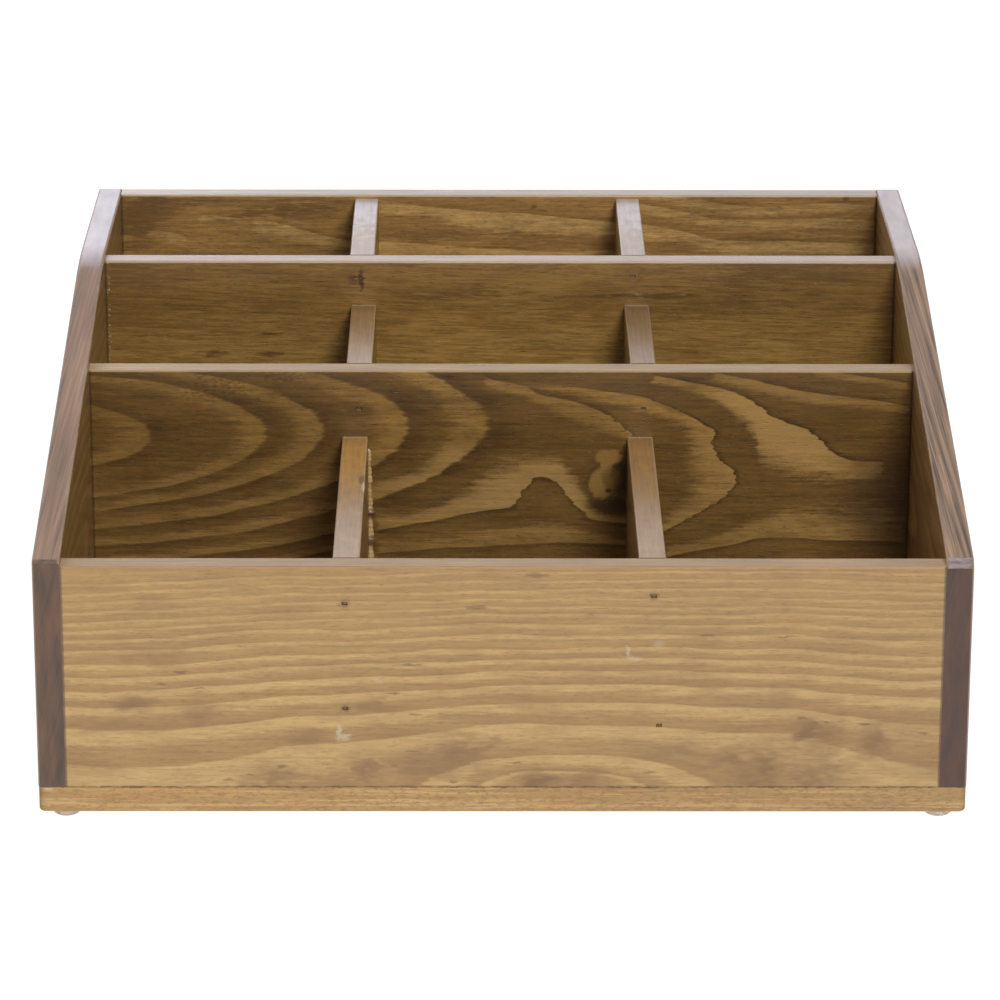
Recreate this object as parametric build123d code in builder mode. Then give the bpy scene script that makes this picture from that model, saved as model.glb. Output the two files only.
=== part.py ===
"""Coffee station organizer in stained pine, in millimetres.

An open box with three stepped rows of bays. Two side boards with a sloped top hold four cross panels:
the front panel, the middle panel, the rear panel and the back panel. Two dividers in each row make
three bays, nearly equal. Every board stands on one base board, which is also the floor of the bays.
The joints are butt joints, glued and nailed with brads. Four clear bumpers are stuck under the base
board.

+X is to the right, +Y to the back and +Z up. The origin is on the table, under the middle of the box.
"""

import os

from build123d import *

os.makedirs("parts", exist_ok=True)

# The box. Heights are measured from the underside of the base board.
width = 406.0
depth = 404.0
box_height = 173.6
side_front_height = 116.8
front_bay_depth = 163.6
middle_bay_depth = 93.6

# The boards.
base_thickness = 12.0
side_thickness = 12.0
panel_thickness = 12.0
divider_thickness = 12.0

# The top of a side board slopes up from the front and runs level at the back. The rims of the cross
# panels lie below it by these drops, measured at each panel's front face.
level_top_length = 128.0
front_rim_drop = 2.6
middle_rim_drop = 4.9
rear_rim_drop = 3.2
crest_radius = 180.0
left_front_bevel = 1.2
right_front_bevel = 3.2
back_corner_radius = 2.0

# The dividers were set by hand. Each stands a little off the place that makes equal bays, and the tops
# of a row rise by this much from the panel ahead to the panel behind.
divider_shift = {
    ("front", "left"): -2.3,
    ("front", "right"): -1.0,
    ("middle", "left"): -0.4,
    ("middle", "right"): 0.4,
    ("rear", "left"): -1.2,
    ("rear", "right"): -0.9,
}
divider_rise = {"front": 1.6, "middle": 0.5, "rear": 1.2}

# Sanded edges.
rim_ease = 1.1
side_ease = 1.2
divider_ease = 0.9
base_ease = 1.6
base_top_ease = 0.5
base_corner_radius = 3.2

# Brads, nails of flat wire with a T head, which a nailer drives just below the surface.
brad_length = 25.0
wire_width = 1.25
wire_thickness = 1.05
head_width = 2.1
head_thickness = 0.9
brad_set = 0.9
driver_margin = 0.2
brad_clearance = 0.03
brad_above_floor = 32.5
back_brad_above_floor = 44.0
front_brad_drop = 15.6
middle_brad_drop = 18.6
rear_brad_drop = 7.4
back_brad_drop = 15.0
base_brads_per_side = 3
base_brads_per_panel = 2
base_brad_inset = 42.0

# How far off its place each brad of a divider went, across and up, the lower brad first.
no_drift = ((0, 0), (0, 0))
brad_drift = {
    ("front_panel", "left"): ((-0.5, 4.3), (-0.5, -1.3)),
    ("front_panel", "right"): ((3.3, -3.5), (0.3, 2.2)),
    ("rear_panel", "left"): ((0, 0), (-2.6, -1.0)),
    ("rear_panel", "right"): ((0, 0), (-0.6, 0)),
}

# Stick-on bumpers.
foot_radius = 6.35
foot_height = 3.5
foot_skirt = 0.6
foot_shoulder_radius = 5.15
foot_shoulder_height = 1.2
foot_flat_radius = 3.4
foot_side_inset = 11.5
foot_end_inset = 9.0

# Planes and places that follow from the sizes above.
base_bottom = foot_height
floor_top = base_bottom + base_thickness
front_y = -depth / 2
back_y = depth / 2
inner_width = width - 2 * side_thickness
middle_run = panel_thickness + front_bay_depth
rear_run = middle_run + panel_thickness + middle_bay_depth
panel_y = {
    "front_panel": front_y,
    "middle_panel": front_y + middle_run,
    "rear_panel": front_y + rear_run,
    "back_panel": back_y - panel_thickness,
}


def side_top_at(run):
    """The height of the side boards' top at a run back from their front."""
    rise_share = min(1, run / (depth - level_top_length))
    return base_bottom + side_front_height + (box_height - side_front_height) * rise_share


panel_top = {
    "front_panel": side_top_at(0) - front_rim_drop,
    "middle_panel": side_top_at(middle_run) - middle_rim_drop,
    "rear_panel": side_top_at(rear_run) - rear_rim_drop,
    "back_panel": base_bottom + box_height,
}
bay_width = (inner_width - 2 * divider_thickness) / 3
divider_x = (bay_width + divider_thickness) / 2
columns = {"left": -divider_x, "right": divider_x}

# Each row of dividers stands between two panels and starts as high as the one in front of it.
rows = {
    "front": ("front_panel", "middle_panel"),
    "middle": ("middle_panel", "rear_panel"),
    "rear": ("rear_panel", "back_panel"),
}

# The row whose dividers each cross panel is nailed to.
nailed_row = {ahead: row for row, (ahead, behind) in rows.items()}
nailed_row["back_panel"] = "rear"


def divider_middle(row, column):
    """Where the middle of a divider stands across the box."""
    return columns[column] + divider_shift[row, column]


def facing(direction, distance):
    """The plane square to a direction, at a distance along it, whose normal is that direction."""
    across = (0, 1, 0) if direction[0] else (1, 0, 0)
    return Plane(origin=tuple(distance * d for d in direction), x_dir=across, z_dir=direction)


def on_plane(plane, points):
    """Points of the box as places on a plane."""
    return [tuple(plane.to_local_coords(Vector(*point)))[:2] for point in points]


# Where the brads go. Each set has the plane of the face that it is driven into, and all but the back
# panel's go into the front face of a cross panel.
brad_low = floor_top + brad_above_floor
brad_heights = {
    "front_panel": (brad_low, panel_top["front_panel"] - front_brad_drop),
    "middle_panel": (brad_low, panel_top["middle_panel"] - middle_brad_drop),
    "rear_panel": (brad_low, panel_top["rear_panel"] - rear_brad_drop),
    "back_panel": (floor_top + back_brad_above_floor, panel_top["back_panel"] - back_brad_drop),
}
side_mid_x = (width - side_thickness) / 2
side_row_length = depth - 2 * base_brad_inset
panel_row_length = inner_width - 2 * base_brad_inset
outer_plane = {"left": facing((-1, 0, 0), width / 2), "right": facing((1, 0, 0), width / 2)}
face_plane = {name: facing((0, -1, 0), -panel_y[name]) for name in panel_y}
face_plane["back_panel"] = facing((0, 1, 0), back_y)
under_plane = facing((0, 0, -1), -base_bottom)


def end_points(name):
    """The brads in one end of a cross panel, through a side board."""
    return [(0, panel_y[name] + panel_thickness / 2, z) for z in brad_heights[name]]


def divider_points(name, column):
    """The brads through a cross panel into the end of a divider."""
    middle = divider_middle(nailed_row[name], column)
    places = zip(brad_heights[name], brad_drift.get((name, column), no_drift))
    return [(middle + across, 0, z + up) for z, (across, up) in places]


def row_points(name):
    """The brads through a cross panel into the ends of both dividers."""
    return [point for column in columns for point in divider_points(name, column)]


def under_side_points(side):
    """The brads through the base board into the lower edge of a side board."""
    x = -side_mid_x if side == "left" else side_mid_x
    step = side_row_length / (base_brads_per_side - 1)
    return [(x, front_y + base_brad_inset + n * step, 0) for n in range(base_brads_per_side)]


def under_panel_points(name):
    """The brads through the base board into the lower edge of a cross panel."""
    y = panel_y[name] + panel_thickness / 2
    step = panel_row_length / (base_brads_per_panel - 1)
    return [(n * step - panel_row_length / 2, y, 0) for n in range(base_brads_per_panel)]


side_points = [point for name in panel_y for point in end_points(name)]
under_points = [point for side in ("left", "right") for point in under_side_points(side)]
under_points += [point for name in panel_y for point in under_panel_points(name)]


def bars(plane, points, across, margin, depth, mode=Mode.ADD):
    """Bars of the wire's width, one at each point, that go down from a plane. They are added or cut."""
    with BuildSketch(plane) as ends:
        with Locations(*on_plane(plane, points)):
            Rectangle(across + 2 * margin, wire_width + 2 * margin)
    extrude(ends.sketch, amount=-depth, mode=mode)


def drive(plane, points, board_thickness):
    """Cuts what brads leave in the first board: a recess over the head, and the hole of the wire."""
    bars(plane, points, head_width, driver_margin, brad_set + head_thickness, Mode.SUBTRACT)
    bars(plane, points, wire_thickness, brad_clearance, board_thickness, Mode.SUBTRACT)


def receive(plane, points, board_thickness):
    """Cuts the blind holes that the same brads make in the board behind, from its own face."""
    reach = brad_set + brad_length - board_thickness
    bars(plane.offset(-board_thickness), points, wire_thickness, brad_clearance, reach, Mode.SUBTRACT)


def save(piece, name):
    """Labels a finished piece and writes it under its name."""
    piece.part.label = name
    export_step(piece.part, f"parts/{name}.step")


# Base board, with round corners and a sanded lower edge.
with BuildPart() as base_board:
    with BuildSketch(Plane.XY.offset(base_bottom)):
        RectangleRounded(width, depth, base_corner_radius)
    extrude(amount=base_thickness)
    fillet(base_board.faces().sort_by(Axis.Z)[0].edges(), base_ease)
    fillet(base_board.faces().sort_by(Axis.Z)[-1].edges(), base_top_ease)
    drive(under_plane, under_points, base_thickness)
save(base_board, "base_board")


# Side boards, drawn as the profile of their sloped top.
for side, front_bevel in (("left", left_front_bevel), ("right", right_front_bevel)):
    inner_plane = outer_plane[side].offset(-side_thickness)
    with BuildPart() as side_board:
        with BuildSketch(Plane.YZ.offset(inner_plane.origin.X)):
            with BuildLine() as outline:
                Polyline(
                    (front_y, floor_top),
                    (front_y, side_top_at(0)),
                    (back_y - level_top_length, side_top_at(depth)),
                    (back_y, side_top_at(depth)),
                    (back_y, floor_top),
                    close=True,
                )
            make_face()
            nose = vertices().group_by(Axis.X)[0].sort_by(Axis.Y)[-1]
            crest, tail = vertices().group_by(Axis.Y)[-1].sort_by(Axis.X)
            chamfer(nose, front_bevel)
            fillet(crest, crest_radius)
            fillet(tail, back_corner_radius)
        extrude(amount=side_thickness if side == "right" else -side_thickness)
        ends = side_board.faces().filter_by(Axis.X).sort_by(Axis.X)
        outer_face, inner_face = (ends[0], ends[-1]) if side == "left" else (ends[-1], ends[0])
        above_floor = outer_face.edges().filter_by(lambda edge: edge.center().Z > floor_top)
        inner_rim = inner_face.edges().filter_by(Axis.Z, reverse=True)
        fillet(above_floor, side_ease)
        fillet(inner_rim.filter_by(lambda edge: edge.center().Z > floor_top), side_ease)
        drive(outer_plane[side], side_points, side_thickness)
        receive(under_plane, under_side_points(side), base_thickness)
    save(side_board, f"{side}_side")


# Cross panels, each with a sanded rim.
for name in panel_y:
    with BuildPart() as panel:
        with BuildSketch(Plane.XY.offset(floor_top)):
            with Locations((0, panel_y[name] + panel_thickness / 2)):
                Rectangle(inner_width, panel_thickness)
        extrude(amount=panel_top[name] - floor_top)
        fillet(panel.faces().sort_by(Axis.Z)[-1].edges().filter_by(Axis.X), rim_ease)
        drive(face_plane[name], row_points(name), panel_thickness)
        for side in ("left", "right"):
            receive(outer_plane[side], end_points(name), side_thickness)
        receive(under_plane, under_panel_points(name), base_thickness)
    save(panel, name)


# Dividers, two in each row, drawn as the profile of their rising top.
for row, (ahead, behind) in rows.items():
    row_start = panel_y[ahead] + panel_thickness
    row_end = panel_y[behind]
    for column in columns:
        with BuildPart() as divider:
            with BuildSketch(Plane.YZ.offset(divider_middle(row, column))):
                with BuildLine():
                    Polyline(
                        (row_start, floor_top),
                        (row_start, panel_top[ahead]),
                        (row_end, panel_top[ahead] + divider_rise[row]),
                        (row_end, floor_top),
                        close=True,
                    )
                make_face()
            extrude(amount=divider_thickness / 2, both=True)
            top_edges = divider.faces().sort_by(Axis.Z)[-1].edges()
            fillet(top_edges.filter_by(Axis.X, reverse=True), divider_ease)
            receive(face_plane[ahead], divider_points(ahead, column), panel_thickness)
            if behind == "back_panel":
                receive(face_plane[behind], divider_points(behind, column), panel_thickness)
        save(divider, f"{row}_{column}_divider")


# Bumpers: a flat top with a thin skirt, and a low dome in two flanks, flat where it stands on the table.
foot_x = width / 2 - foot_side_inset
foot_y = depth / 2 - foot_end_inset
for end, y in (("front", -foot_y), ("rear", foot_y)):
    for side, x in (("left", -foot_x), ("right", foot_x)):
        with BuildPart() as foot:
            with BuildSketch(Plane(origin=(x, y, 0), x_dir=(1, 0, 0), z_dir=(0, -1, 0))):
                with BuildLine():
                    Polyline(
                        (0, 0),
                        (0, foot_height),
                        (foot_radius, foot_height),
                        (foot_radius, foot_height - foot_skirt),
                        (foot_shoulder_radius, foot_shoulder_height),
                        (foot_flat_radius, 0),
                        close=True,
                    )
                make_face()
            revolve(axis=Axis((x, y, 0), (0, 0, 1)))
        save(foot, f"{end}_{side}_foot")


# Brads, grouped by the board that they are driven into.
driven = {
    "left_side": (outer_plane["left"], side_points),
    "right_side": (outer_plane["right"], side_points),
    "base": (under_plane, under_points),
}
for name in panel_y:
    driven[name] = (face_plane[name], row_points(name))
for name, (plane, points) in driven.items():
    with BuildPart() as brads:
        bars(plane.offset(-brad_set), points, head_width, 0, head_thickness)
        bars(plane.offset(-brad_set), points, wire_thickness, 0, brad_length)
    save(brads, f"{name}_brads")
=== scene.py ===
"""The looks of a coffee station organizer, an open pine box with three stepped rows of bays.

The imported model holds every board, brad and bumper in its place. This script gives each board its
own grain, stain and varnish, stands domed clear bumpers in for the plain ones, adds the glue that
was squeezed out of a joint, and sets up a white studio with its camera.

How the wood is drawn: a board is sawn beside the heart of its tree. Along the board the heart lies
at a height on the face and at a depth behind it, and both drift. A year ring shows where the
distance from the heart equals the radius that the tree had that year, so the rings run as lines
where the heart lies parallel to the face, and close in pointed loops where it dives away from it.
Places on a board are in millimetres: run along the grain, rise across it and back behind the face.
"""

from dataclasses import dataclass, replace
from math import pi, radians

import bpy
import numpy as np
from mathutils import Matrix, Vector


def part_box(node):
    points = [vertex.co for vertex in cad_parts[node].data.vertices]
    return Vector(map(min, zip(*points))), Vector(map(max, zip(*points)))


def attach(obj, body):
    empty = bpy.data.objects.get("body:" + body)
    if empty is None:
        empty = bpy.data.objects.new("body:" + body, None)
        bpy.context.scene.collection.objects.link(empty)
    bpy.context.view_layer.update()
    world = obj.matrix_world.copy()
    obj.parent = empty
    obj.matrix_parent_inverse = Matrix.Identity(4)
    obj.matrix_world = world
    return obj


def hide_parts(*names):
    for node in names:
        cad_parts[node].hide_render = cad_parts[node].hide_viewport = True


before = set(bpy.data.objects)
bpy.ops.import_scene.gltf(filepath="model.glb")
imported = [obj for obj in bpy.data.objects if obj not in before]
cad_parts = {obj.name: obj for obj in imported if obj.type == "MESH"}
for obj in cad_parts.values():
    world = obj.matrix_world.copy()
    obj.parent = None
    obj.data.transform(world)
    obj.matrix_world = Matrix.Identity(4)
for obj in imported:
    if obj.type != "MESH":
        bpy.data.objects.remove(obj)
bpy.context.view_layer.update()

MM = 0.001
PER_METRE = 1000
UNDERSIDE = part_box("base_board")[0].z


def display(red, green, blue):
    """The linear colour of a colour given as a display shows it, each part from 0 to 255."""
    def linear(level):
        share = level / 255
        return share / 12.92 if share <= 0.04045 else ((share + 0.055) / 1.055) ** 2.4
    return (linear(red), linear(green), linear(blue), 1)


# Materials are written as sums of values

def math_node(operation, flipped=False):
    """A method of Value that joins it with its terms in a Math node, as the last one if flipped."""
    def method(value, *terms):
        return value.join(operation, *terms, value) if flipped else value.join(operation, value, *terms)
    return method


class Value:
    """A number or colour that varies over a surface. Arithmetic on it adds Math nodes."""

    def __init__(self, tree, socket):
        self.tree = tree
        self.socket = socket

    def join(self, operation, *terms):
        node = self.tree.nodes.new("ShaderNodeMath")
        node.operation = operation
        for socket, term in zip(node.inputs, terms):
            if isinstance(term, Value):
                self.tree.links.new(term.socket, socket)
            else:
                socket.default_value = term
        return Value(self.tree, node.outputs[0])

    __add__ = math_node("ADD")
    __radd__ = math_node("ADD", flipped=True)
    __sub__ = math_node("SUBTRACT")
    __rsub__ = math_node("SUBTRACT", flipped=True)
    __mul__ = math_node("MULTIPLY")
    __rmul__ = math_node("MULTIPLY", flipped=True)
    __truediv__ = math_node("DIVIDE")
    root = math_node("SQRT")
    size = math_node("ABSOLUTE")
    exponential = math_node("EXPONENT")
    least = math_node("MINIMUM")
    most = math_node("MAXIMUM")


def most_of(values):
    """The highest of several values."""
    highest = values[0]
    for value in values[1:]:
        highest = highest.most(value)
    return highest


class Finish:
    """A material or a sky in the making. Its nodes come from add, and close ends a material."""

    def __init__(self, name, shelf=bpy.data.materials):
        self.made = shelf.new(name)
        self.made.use_nodes = True
        self.tree = self.made.node_tree
        self.tree.nodes.clear()

    def add(self, kind, settings, values, output=0):
        """A node of a kind: its settings are made first, then its sockets are filled or linked."""
        node = self.tree.nodes.new(kind)
        for name, setting in settings.items():
            if name == "stations":
                self.lay_curve(node.mapping, setting)
            else:
                setattr(node, name, setting)
        by_name = {socket.identifier: socket for socket in node.inputs}
        for name, value in values.items():
            socket = by_name[name]
            if isinstance(value, Value):
                self.tree.links.new(value.socket, socket)
            else:
                socket.default_value = value
        return Value(self.tree, node.outputs[output]) if node.outputs else None

    @staticmethod
    def lay_curve(mapping, stations):
        """Lays a curve smoothly through stations, each a pair of shares from 0 to 1."""
        line = mapping.curves[0]
        mapping.extend = "HORIZONTAL"
        line.points[0].location = stations[0]
        line.points[1].location = stations[-1]
        for station in stations[1:-1]:
            line.points.new(*station)
        for point in line.points:
            point.handle_type = "AUTO_CLAMPED"
        mapping.update()

    def along_curve(self, place, stations):
        """The height at place of a smooth line through stations (place, height)."""
        start = stations[0][0]
        span = stations[-1][0] - start
        heights = [height for _, height in stations]
        low = min(heights)
        reach = max(max(heights) - low, 1)
        shares = [((x - start) / span, (y - low) / reach) for x, y in stations]
        share = (place - start) / span
        return self.add("ShaderNodeFloatCurve", {"stations": shares}, {"Value": share}) * reach + low

    def fade(self, value, start, end):
        """0 where value is at start, 1 where it is at end, with an eased step between them."""
        return self.add(
            "ShaderNodeMapRange",
            {"interpolation_type": "SMOOTHSTEP"},
            {"Value": value, "From Min": start, "From Max": end},
        )

    def noise(self, x, y, z, detail=2, roughness=0.5):
        """Cloudy noise about 0, mostly between -1 and 1, at a place given in cloud widths."""
        place = self.add("ShaderNodeCombineXYZ", {}, {"X": x, "Y": y, "Z": z})
        cloud = self.add(
            "ShaderNodeTexNoise",
            {"noise_dimensions": "3D"},
            {"Vector": place, "Scale": 1, "Detail": detail, "Roughness": roughness},
        )
        return (cloud - 0.5) * 3

    def mix(self, share, low, high):
        """The colour low where share is 0, and high where it is 1."""
        return self.add(
            "ShaderNodeMix",
            {"data_type": "RGBA", "clamp_factor": True},
            {"Factor_Float": share, "A_Color": low, "B_Color": high},
            output=2,
        )

    def scaled(self, colour, factor):
        """A colour made darker or lighter by a factor."""
        if not isinstance(colour, Value):
            colour = colour[:3]
        return self.add(
            "ShaderNodeVectorMath", {"operation": "SCALE"}, {"Vector": colour, "Scale": factor}
        )

    def tinted(self, share, colour, low, high):
        """A colour whose parts are multiplied by low where share is 0, and by high where it is 1."""
        tint = self.mix(share, (*low, 1), (*high, 1))
        return self.add(
            "ShaderNodeVectorMath", {"operation": "MULTIPLY"}, {"Vector": colour, "Vector_001": tint}
        )

    def parts(self, vector):
        """The three parts of a vector."""
        split = self.add("ShaderNodeSeparateXYZ", {}, {"Vector": vector})
        return [Value(self.tree, socket) for socket in split.socket.node.outputs]

    def places(self):
        """Where a point of the piece is, in millimetres, with its height from the underside."""
        x, y, z = self.parts(self.add("ShaderNodeTexCoord", {}, {}, output=3))
        return x * PER_METRE, y * PER_METRE, (z - UNDERSIDE) * PER_METRE

    def facings(self):
        """How squarely the surface faces along each axis of the piece, from 0 to 1."""
        normal = self.add("ShaderNodeTexCoord", {}, {}, output=1)
        return [part.size() for part in self.parts(normal)]

    def spot(self, across, up, place, radii, soft=0.35):
        """1 inside an oval about place, fading to 0 over a rim that is a soft share of it."""
        x = (across - place[0]) / radii[0]
        y = (up - place[1]) / radii[1]
        return self.fade(x * x + y * y, (1 + soft) ** 2, (1 - soft) ** 2)

    def hill(self, across, up, place, radii):
        """A bell of height 1 over place, as wide as radii."""
        x = (across - place[0]) / radii[0]
        y = (up - place[1]) / radii[1]
        return ((x * x + y * y) * -1).exponential()

    def close(self, colour, roughness, height=None, lift=0.15 * MM, **constants):
        """Ends the material in a glossy shader. height raises the surface, by up to lift metres."""
        values = {"Base Color": colour, "Roughness": roughness}
        values.update({name.replace("_", " "): value for name, value in constants.items()})
        if height is not None:
            values["Normal"] = self.add(
                "ShaderNodeBump", {}, {"Strength": 0.7, "Distance": lift, "Height": height}
            )
        shader = self.add("ShaderNodeBsdfPrincipled", {}, values)
        self.add("ShaderNodeOutputMaterial", {}, {"Surface": shader})
        return self.made


# How a board lies in its tree, and how it took its stain

@dataclass
class Sawing:
    """heart_rise and heart_depth are stations (run, height or depth), and years has a pair for
    each ring: the radius of the year's end and the width of its late wood. tilt is how much
    nearer the heart is for each millimetre behind the face."""
    heart_rise: tuple
    heart_depth: tuple
    years: tuple
    tilt: float = 0.6


# No part of a wood's own colour is darker than this
DARKEST = 0.004


@dataclass
class Stain:
    """The colours that the early wood, the late wood, the line between years, the clouds, the
    pores and the end grain show in the studio, the light that falls on the board and the sheen of
    its varnish there, and how strong the streaks, the clouds, the lines and the pores are. tooth
    is how far torn fibres drag a ring along the grain, and feather is how ragged its soft side is."""
    early: tuple
    late: tuple
    line: tuple
    cloud: tuple
    pore: tuple
    end: tuple
    light: tuple = (0.69, 0.69, 0.69)
    sheen: float = 0.005
    streak: float = 0.7
    cloud_share: float = 0.45
    line_share: float = 0.5
    pore_share: float = 0.55
    tooth: float = 3.4
    feather: float = 0.9

    def tone(self, shown):
        """The wood's own colour, worked out from the colour that it shows in the studio."""
        lit = zip(display(*shown), self.light)
        return (*(max((part - self.sheen) / light, DARKEST) for part, light in lit), 1)


class Wood:
    """The wood of one board. Rings and bands are laid in it first, and then it gives its colour."""

    def __init__(self, finish, run, rise, back, stain, seed, coarse=2.2):
        """coarse is how thick the bundles are that the fibres tear in."""
        self.finish = finish
        self.stain = stain
        self.late = []
        self.line = []
        self.back = back
        torn = finish.noise(run / 16, rise / coarse, back / coarse + seed, 2, 0.6)
        sway = finish.noise(run / 45, rise / 16 + seed, back / 30, 1)
        self.run = run + torn * stain.tooth
        self.rise = rise + sway * 1.2
        fibre = finish.noise(run / 16, rise / 0.9, back / 0.9 + seed, 3, 0.65)
        streak = finish.noise(run / 42, rise / 2.2 + seed, back / 2.2, 3, 0.65)
        mottle = finish.noise(run / 4, rise / 1.8, back / 1.8 + seed, 3, 0.65)
        wash = finish.noise(run / 60, rise / 8 + seed, back / 8, 3, 0.6)
        self.cloud = finish.noise(run / 34 + seed, rise / 12, back / 12, 3)
        pores = finish.noise(run / 5, rise / 0.6, back / 0.6 + seed, 1)
        self.pore = finish.fade(pores, 0.40, 0.62)
        self.grain = fibre * 0.6 + streak * 0.6 + mottle * 0.4 + wash * 0.4

    def rings(self, sawing, share=1):
        """The years of a tree. Each ends sharply, with pale late wood just inside it."""
        finish = self.finish
        depth = finish.along_curve(self.run, sawing.heart_depth) - self.back * sawing.tilt
        up = self.rise - finish.along_curve(self.run, sawing.heart_rise)
        radius = (depth * depth + up * up).root()
        late = []
        line = []
        feather = self.grain * self.stain.feather
        for outer, width in sawing.years:
            past = radius - outer
            soft = past + feather * (0.5 * width)
            late.append(finish.fade(soft, -1.35 * width, -0.45 * width).least(
                finish.fade(past, 0.4, -0.35)
            ))
            line.append(finish.fade(past, -0.35, 0.3).least(finish.fade(past, 1.1 * width, 0.3)))
        self.late.append(most_of(late) * share)
        self.line.append(most_of(line) * share)

    def band(self, sharp, soft, share=1, upright=False):
        """Late wood between two lines through stations. It ends sharply at the first line, and
        fades out before the second. An upright band has stations (height, run)."""
        finish = self.finish
        place, across = (self.rise, self.run) if upright else (self.run, self.rise)
        inward = 1 if soft[len(soft) // 2][1] > sharp[len(sharp) // 2][1] else -1
        edge = finish.along_curve(place, sharp)
        reach = ((finish.along_curve(place, soft) - edge) * inward).most(0.6)
        inside = (across - edge) * inward
        start, end = sharp[0][0], sharp[-1][0]
        within = finish.fade(place, start - 1, start + 1.5).least(
            finish.fade(place, end + 1, end - 1.5)
        )
        soft_side = inside / reach - self.grain * 0.3
        late = finish.fade(inside, -0.35, 0.4).least(finish.fade(soft_side, 1.2, 0.5))
        line = finish.fade(inside, 0.35, -0.3).least(finish.fade(inside, -3.4, -0.3))
        self.late.append(late.least(within) * share)
        self.line.append(line.least(within) * share)

    def colour(self, along):
        """The stained wood. along is how squarely the surface faces along the grain."""
        finish, stain = self.finish, self.stain
        end = finish.fade(along, 0.08, 0.85)
        colour = stain.tone(stain.early)
        if self.late:
            late = most_of(self.late) * (self.cloud * 0.7 + 1)
            colour = finish.mix(late, colour, stain.tone(stain.late))
            line = most_of(self.line) * (self.cloud * 1.2 + 1) * stain.line_share
            colour = finish.mix(line, colour, stain.tone(stain.line))
        clouds = finish.fade(self.cloud + self.grain * 0.3, 0, 0.45) * stain.cloud_share
        colour = finish.mix(clouds, colour, stain.tone(stain.cloud))
        colour = finish.scaled(colour, (self.grain * stain.streak + 1).most(0.3))
        colour = finish.mix(self.pore * stain.pore_share, colour, stain.tone(stain.pore))
        cut = finish.scaled(stain.tone(stain.end), (self.grain * 0.4 + 1).most(0.3))
        return finish.mix(end * 0.9, colour, cut)

    def relief(self):
        """How the surface rises and falls: fibres stand proud, and pores are open."""
        return self.grain * 0.25 - self.pore * 0.8


def varnished(finish, wood, colour, dull, roughness=0.42):
    """Ends the material of a board in varnish. dull is 1 where handling wore its gloss away."""
    return finish.close(
        colour, dull * 0.25 + wood.grain * 0.04 + roughness, wood.relief(),
        IOR=1.5, Coat_Weight=0.6 - dull * 0.5, Coat_Roughness=0.28, Coat_IOR=1.5,
    )


def arris_of(finish, facings):
    """1 on the eased edges, whose facets face halfway between two axes, and 0 on the flats."""
    x, y, z = facings
    return finish.fade((x * z).most(y * z).most(x * y), 0.22, 0.42)


def dress(names, material):
    """Gives CAD nodes one material each, in place of the ones they came with."""
    for name in names:
        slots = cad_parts[name].data.materials
        slots.clear()
        slots.append(material)


# How far the inner faces of the side boards are from the middle of the box, in millimetres
INNER_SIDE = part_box("right_side")[0].x * PER_METRE


def panel_wood(name, node, stain, seed, draw, rim_colour, arris_wear_and_highlight, rim_left=0):
    """The material of a cross panel. draw lays rings and bands in its wood and marks it with what
    is only on this board. rim_left is how much lighter the top edge is at its left end."""
    finish = Finish(name)
    x, y, z = finish.places()
    facings = finish.facings()
    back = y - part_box(node)[0].y * PER_METRE
    wood = Wood(finish, x, z, back, stain, seed)
    colour = draw(wood, facings[0], x, z)
    # The top edge has fine streaks along it, and the faces meet the side boards in a dark joint
    rim_streak = finish.noise(x / 40, back / 1.4, seed, 3, 0.6)
    rim = finish.fade(facings[2], 0.75, 0.95)
    rim_light = finish.fade(x, -90, -180) * rim_left + 1
    rim_wood = finish.scaled(display(*rim_colour), rim_streak * 0.55 + rim_light)
    colour = finish.mix(rim * 0.75, colour, rim_wood)
    # Pale eased edges, partly worn and partly a painted highlight
    edge = arris_of(finish, facings)
    colour = finish.mix(edge * 0.6, colour, display(*arris_wear_and_highlight))
    joint = finish.fade(x.size(), INNER_SIDE - 1.2, INNER_SIDE - 0.4) * (1 - rim)
    colour = finish.mix(joint * 0.65, colour, display(44, 32, 20))
    return varnished(finish, wood, colour, edge)


# The front panel, pale and nearly straight in the grain, with an arch at the foot

TAN = Stain(
    early=(174, 141, 98),
    late=(197, 164, 117),
    line=(160, 126, 86),
    cloud=(162, 129, 91),
    pore=(130, 98, 66),
    end=(128, 98, 66),
    light=(1.16, 1.17, 1.38),
    sheen=0.045,
    streak=0.30,
    cloud_share=0.5,
    line_share=0.55,
    pore_share=0.3,
)

FRONT_SAWING = Sawing(
    heart_rise=((-203, 7), (-150, 9), (-100, 11), (25, 10), (100, 12), (203, 14.5)),
    heart_depth=(
        (-203, 26.5), (-190, 27.3), (-165, 29.1), (-130, 28.8), (-110, 26.9), (-95, 24.3),
        (-70, 22.6), (-50, 20.2), (-30, 15.5), (-20, 13.5), (-10, 9), (0, 6.5), (25, 1), (50, 6),
        (75, 13), (88, 16.5), (125, 20), (140, 24.3), (160, 28), (175, 30.1), (191, 30.9), (203, 31.2),
    ),
    years=(
        (9.5, 1.6), (17, 4.4), (31.5, 7.5), (41.5, 5), (50, 3.8), (56.5, 3), (62, 2.4), (67, 2.2),
        (73, 2), (78, 1.8), (82.5, 1.6), (86, 1.4), (90, 1.4), (94, 1.4), (98, 1.3), (102, 1.2),
    ),
    tilt=0,
)

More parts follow.
